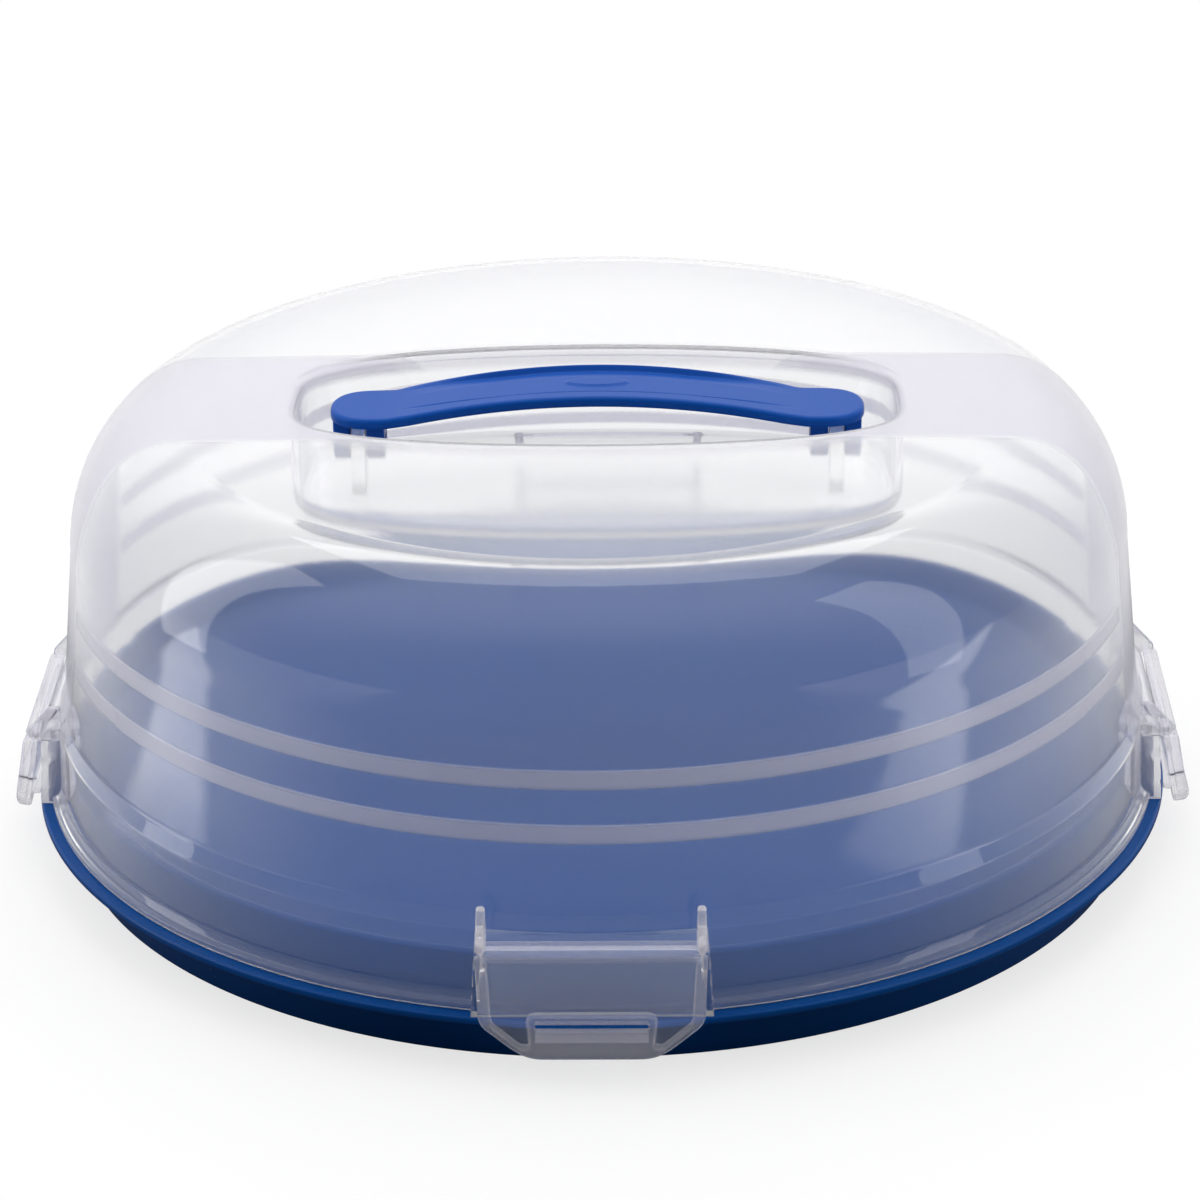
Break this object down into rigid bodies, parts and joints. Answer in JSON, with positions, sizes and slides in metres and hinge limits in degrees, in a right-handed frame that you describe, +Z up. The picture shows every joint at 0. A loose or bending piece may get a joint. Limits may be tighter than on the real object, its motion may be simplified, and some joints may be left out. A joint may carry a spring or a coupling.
{
  "type": "cake carrier",
  "caption": "Round cake carrier: shallow blue tray, clear domed lid with a folding handle sunk in its top, and clips that hook under the tray rim.",
  "frame": {"origin": "centre of the foot, on the surface the carrier stands on", "axes": "+Z up, -Y towards the front clip, the handle lies along X"},
  "size_m": [0.3664, 0.3664, 0.1429],
  "materials": {
    "tray_blue": "blue polypropylene, smooth moulded",
    "lid_clear": "natural translucent polypropylene, polished with frosted bands",
    "handle_blue": "blue polypropylene, smooth moulded",
    "clip_clear": "natural translucent polypropylene, satin"
  },
  "bodies": {
    "tray": {"tray": "tray_blue"},
    "lid": {"lid": "lid_clear"},
    "handle": {"handle": "handle_blue"},
    "clip_front": {"clip_front": "clip_clear"},
    "clip_back": {"clip_back": "clip_clear"},
    "clip_left": {"clip_left": "clip_clear"},
    "clip_right": {"clip_right": "clip_clear"}
  },
  "joints": [
    {"name": "lid_lift", "type": "slide", "parent": "tray", "child": "lid", "axis": [0, 0, 1], "range_m": [0, 0.15]},
    {"name": "handle_fold", "type": "hinge", "parent": "lid", "child": "handle", "pos_m": [0, 0, 0.1234], "axis": [1, 0, 0], "range_deg": [-90, 90]},
    {"name": "clip_front_hinge", "type": "hinge", "parent": "lid", "child": "clip_front", "pos_m": [0, -0.1725, 0.04], "axis": [-1, 0, 0], "range_deg": [0, 110]},
    {"name": "clip_back_hinge", "type": "hinge", "parent": "lid", "child": "clip_back", "pos_m": [0, 0.1725, 0.04], "axis": [1, 0, 0], "range_deg": [0, 110]},
    {"name": "clip_left_hinge", "type": "hinge", "parent": "lid", "child": "clip_left", "pos_m": [-0.1725, 0, 0.04], "axis": [0, 1, 0], "range_deg": [0, 110]},
    {"name": "clip_right_hinge", "type": "hinge", "parent": "lid", "child": "clip_right", "pos_m": [0.1725, 0, 0.04], "axis": [0, -1, 0], "range_deg": [0, 110]}
  ]
}
